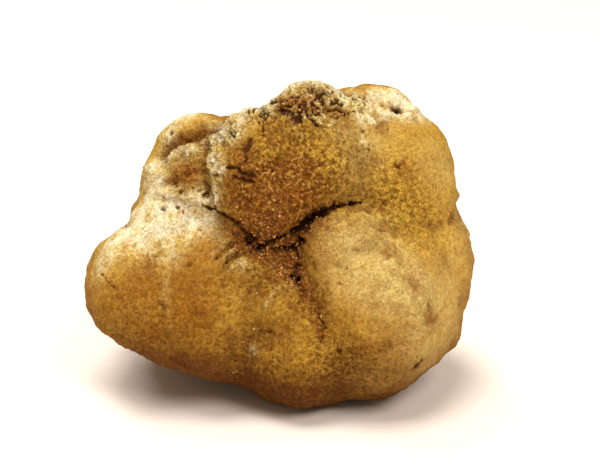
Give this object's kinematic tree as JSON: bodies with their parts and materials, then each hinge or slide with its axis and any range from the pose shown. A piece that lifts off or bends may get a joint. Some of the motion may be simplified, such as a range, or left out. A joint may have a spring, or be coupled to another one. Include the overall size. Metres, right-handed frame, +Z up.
{
  "type": "white truffle",
  "caption": "Whole fresh white truffle: a knobbly, lobed, potato-like fungus with soil-filled furrows, resting on a small flat spot.",
  "frame": {"origin": "middle of the truffle's bounding box, at its lowest face, on the surface that it rests on", "axes": "+Z up, +X along the longest extent towards the truffle's right, -Y towards its front, where the deepest fold is"},
  "size_m": [0.077, 0.053, 0.0633],
  "materials": {
    "rind": "matt, dry ochre rind with a fine grain, paler on the smooth lobes and brown with soil in the furrows"
  },
  "bodies": {
    "root": {"truffle": "rind"}
  },
  "joints": []
}
